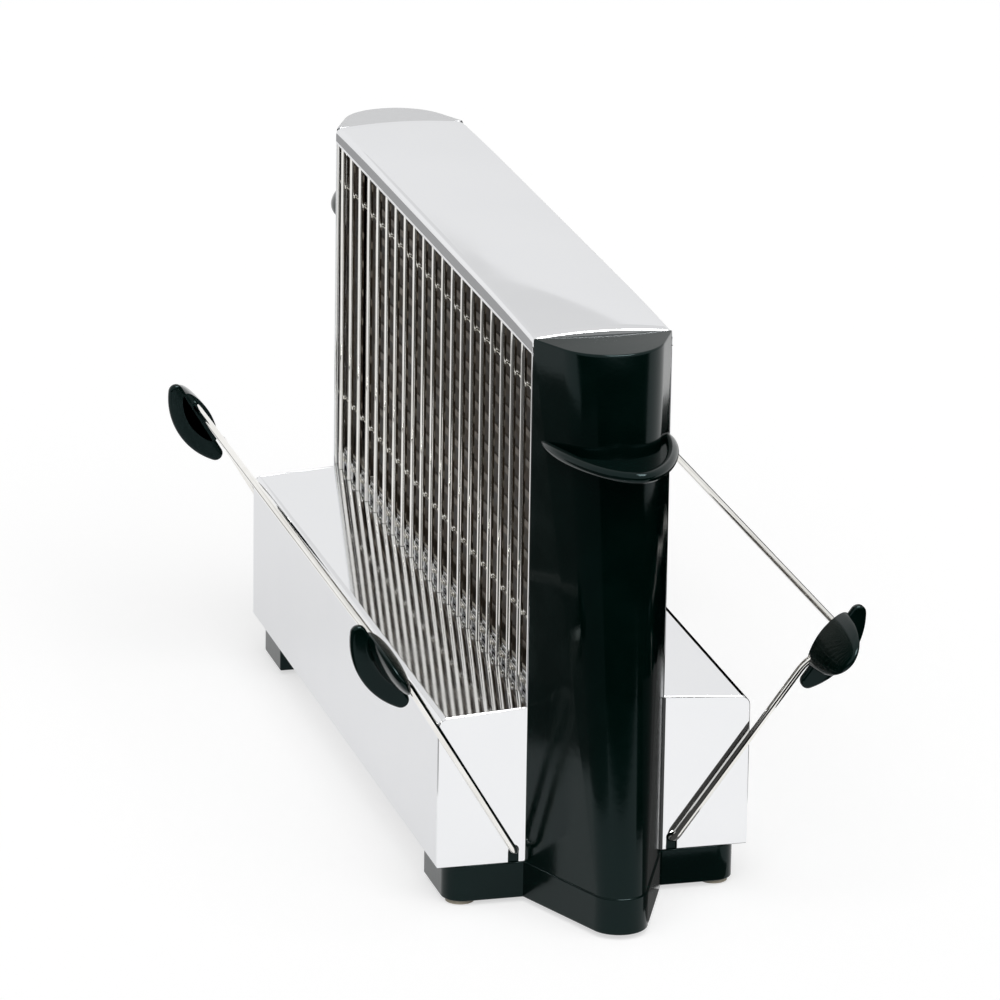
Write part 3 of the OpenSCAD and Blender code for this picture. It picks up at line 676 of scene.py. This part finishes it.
def add_blade(mesh, place):
    """Adds a grip's blade, a half-moon plate with a round edge."""
    flat = BLADE_T / 2 - BLADE_EDGE_R
    rings = []
    for step in range(BLADE_STEPS + 1):
        turn = math.pi * step / BLADE_STEPS - math.pi / 2
        reach = math.copysign(flat, turn) + BLADE_EDGE_R * math.sin(turn)
        outline = half_moon(BLADE_EDGE_R * (1 - math.cos(turn)))
        rings.append([place(BLADE_SHIFT + x, BLADE_MIDDLE + y, reach) for x, y in outline])
    loft(mesh, rings)


def fin_stations():
    """A fin's sections from its root inside the blade to its tip, each as a turn and a reach."""
    base = BLADE_T / 2
    fillet_turns = [math.pi / 2 * i / FILLET_STEPS for i in range(FILLET_STEPS + 1)]
    turns = [math.asin((base + FIN_FILLET * (1 - math.cos(turn))) / FIN_REACH) for turn in fillet_turns]
    left_over = FIN_TIP_TURN - turns[-1]
    turns += [turns[-1] + left_over * i / FIN_STEPS for i in range(1, FIN_STEPS + 1)]
    return [(0.0, -base), (0.0, 0.0)] + [(turn, FIN_REACH * math.sin(turn)) for turn in turns]


def add_fin(mesh, place):
    """Adds a grip's fin, which flares out on the blade's side where it leaves the blade."""
    rings = []
    for turn, reach in fin_stations():
        share = math.cos(turn) ** FIN_SHRINK_POWER
        short = min(1, max(0, 1 - (reach - BLADE_T / 2) / FIN_FILLET))
        flare = FIN_FILLET * (1 - math.sqrt(1 - short * short))
        ring = []
        for k in range(FIN_SIDES):
            angle = 2 * math.pi * k / FIN_SIDES
            across, along = superellipse(angle, FIN_POWER)
            spread = flare * max(0, math.cos(angle))
            offset = across * (FIN_W / 2 * share + spread)
            length = along * (FIN_L / 2 * share + spread)
            ring.append(place(FIN_SHIFT + offset, FIN_MIDDLE + length, reach))
        rings.append(ring)
    loft(mesh, rings)


def grip_skin(side, end, joint, material):
    """A smooth grip on a rack's corner, placed from the rack's hinge and its lean at rest."""
    sign = -1 if end == "near" else 1
    wire_y = arm_y()

    def place(offset, along, reach):
        return rack_place(joint, offset, sign * (wire_y + reach * MM), along)

    mesh = bmesh.new()
    add_blade(mesh, place)
    add_fin(mesh, place)
    made = skin(f"grip_skin_{side}_{end}", mesh, material, GRIP_CRISP_ANGLE)
    stand_in(made, "rack_" + side, f"rack_grip_{side}_{end}", "black_plastic")


def bare_material(name):
    """A material without nodes."""
    material = bpy.data.materials.new(name)
    material.use_nodes = True
    material.node_tree.nodes.clear()
    return material


def light_path_mix(tree, seen, unseen):
    """Mixes two shaders: seen for camera, glossy and transmission rays, unseen for the rest."""
    path = tree.nodes.new("ShaderNodeLightPath")
    total = path.outputs["Is Camera Ray"]
    for kind in ("Is Glossy Ray", "Is Transmission Ray"):
        either = tree.nodes.new("ShaderNodeMath")
        either.operation = "MAXIMUM"
        tree.links.new(total, either.inputs[0])
        tree.links.new(path.outputs[kind], either.inputs[1])
        total = either.outputs["Value"]
    mix = tree.nodes.new("ShaderNodeMixShader")
    tree.links.new(total, mix.inputs["Fac"])
    tree.links.new(unseen, mix.inputs[1])
    tree.links.new(seen, mix.inputs[2])
    return mix.outputs["Shader"]


def add_world():
    """White surroundings: full white where they are seen or reflected, dimmer as light on dull surfaces."""
    world = bpy.data.worlds.new("studio")
    world.use_nodes = True
    tree = world.node_tree
    tree.nodes.clear()
    seen = tree.nodes.new("ShaderNodeBackground")
    unseen = tree.nodes.new("ShaderNodeBackground")
    unseen.inputs["Strength"].default_value = WORLD_DIFFUSE
    for background in (seen, unseen):
        background.inputs["Color"].default_value = WHITE
    output = tree.nodes.new("ShaderNodeOutputWorld")
    shader = light_path_mix(tree, seen.outputs["Background"], unseen.outputs["Background"])
    tree.links.new(shader, output.inputs["Surface"])
    bpy.context.scene.world = world


def add_floor():
    """A white floor that keeps the shadow: part of its white is its own light, for what sees it."""
    bpy.ops.mesh.primitive_plane_add(size=FLOOR_SIZE, location=(0, 0, -FLOOR_DROP))
    floor = bpy.context.object
    floor.name = "floor"
    material = bare_material("floor")
    tree = material.node_tree
    diffuse = tree.nodes.new("ShaderNodeBsdfDiffuse")
    diffuse.inputs["Color"].default_value = (FLOOR_ALBEDO, FLOOR_ALBEDO, FLOOR_ALBEDO, 1)
    glow = tree.nodes.new("ShaderNodeEmission")
    glow.inputs["Strength"].default_value = FLOOR_LIFT
    lifted = tree.nodes.new("ShaderNodeAddShader")
    tree.links.new(diffuse.outputs["BSDF"], lifted.inputs[0])
    tree.links.new(glow.outputs["Emission"], lifted.inputs[1])
    output = tree.nodes.new("ShaderNodeOutputMaterial")
    shader = light_path_mix(tree, lifted.outputs["Shader"], diffuse.outputs["BSDF"])
    tree.links.new(shader, output.inputs["Surface"])
    floor.data.materials.append(material)


def add_card(card):
    """A card that only reflections see, to deepen the mouldings or to shade and light the sheet."""
    corner, across, up = Vector(card.corner), Vector(card.across), Vector(card.up)
    mesh = bmesh.new()
    outline = (corner, corner + across, corner + across + up, corner + up)
    mesh.faces.new([mesh.verts.new(point) for point in outline])
    material = bare_material(card.name)
    tree = material.node_tree
    glow = tree.nodes.new("ShaderNodeEmission")
    glow.inputs["Strength"].default_value = card.brightness
    output = tree.nodes.new("ShaderNodeOutputMaterial")
    tree.links.new(glow.outputs["Emission"], output.inputs["Surface"])
    made = skin(card.name, mesh, material)
    made.visible_camera = False
    made.visible_diffuse = False
    made.visible_shadow = False
    made.visible_transmission = False


def add_skylight():
    """A wide, even light from above and in front, for the floor's soft shadow."""
    data = bpy.data.lights.new("skylight", "SUN")
    data.angle = SKYLIGHT_ANGLE
    data.energy = SKYLIGHT_STRENGTH
    lamp = bpy.data.objects.new("skylight", data)
    lamp.location = SKYLIGHT_PLACE
    lamp.visible_glossy = False
    aim = VIEW_TARGET - lamp.location
    lamp.rotation_euler = aim.to_track_quat("-Z", "Y").to_euler()
    bpy.context.scene.collection.objects.link(lamp)


def add_camera():
    """The camera, aimed along the fitted line of sight."""
    ahead = Vector((
        math.sin(VIEW_AZIMUTH) * math.cos(VIEW_ELEVATION),
        math.cos(VIEW_AZIMUTH) * math.cos(VIEW_ELEVATION),
        -math.sin(VIEW_ELEVATION),
    ))
    level = Vector((math.cos(VIEW_AZIMUTH), -math.sin(VIEW_AZIMUTH), 0))
    right = Matrix.Rotation(-VIEW_ROLL, 3, ahead) @ level
    up = right.cross(ahead)
    data = bpy.data.cameras.new("camera")
    data.lens = LENS_MM
    data.sensor_width = SENSOR_MM
    data.clip_end = CLIP_END
    camera = bpy.data.objects.new("camera", data)
    turn = Matrix((right, up, -ahead)).transposed()
    camera.matrix_world = Matrix.Translation(VIEW_TARGET - ahead * VIEW_DISTANCE) @ turn.to_4x4()
    bpy.context.scene.collection.objects.link(camera)
    bpy.context.scene.camera = camera


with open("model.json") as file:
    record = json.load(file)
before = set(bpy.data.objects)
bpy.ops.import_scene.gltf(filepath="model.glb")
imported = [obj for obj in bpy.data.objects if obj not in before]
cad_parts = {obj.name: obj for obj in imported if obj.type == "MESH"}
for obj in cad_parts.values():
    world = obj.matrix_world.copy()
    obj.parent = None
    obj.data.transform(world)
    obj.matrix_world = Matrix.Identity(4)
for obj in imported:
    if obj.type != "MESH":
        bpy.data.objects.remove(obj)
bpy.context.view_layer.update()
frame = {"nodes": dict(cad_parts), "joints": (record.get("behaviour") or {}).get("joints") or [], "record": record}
bpy.context.scene.view_settings.view_transform = "Standard"
materials = {finish.__name__: finish() for finish in FINISHES}
dress_nodes(frame, materials)
for end in ("near", "far"):
    column_skin(end, materials["black_plastic"])
cap_skin(materials["polished_steel"])
for subpart in frame["record"]["subparts"]:
    node, slot = subpart["node"], subpart["material_slot"]
    if node in SOFTENED:
        soften(node, frame["nodes"][node].data, slot, materials[slot])
for joint in frame["joints"]:
    side = joint["child"].removeprefix("rack_")
    rack_skin(side, joint, materials["bright_wire"])
    for end in ("near", "far"):
        grip_skin(side, end, joint, materials["black_plastic"])
add_world()
add_floor()
for card in CARDS:
    add_card(card)
add_skylight()
add_camera()
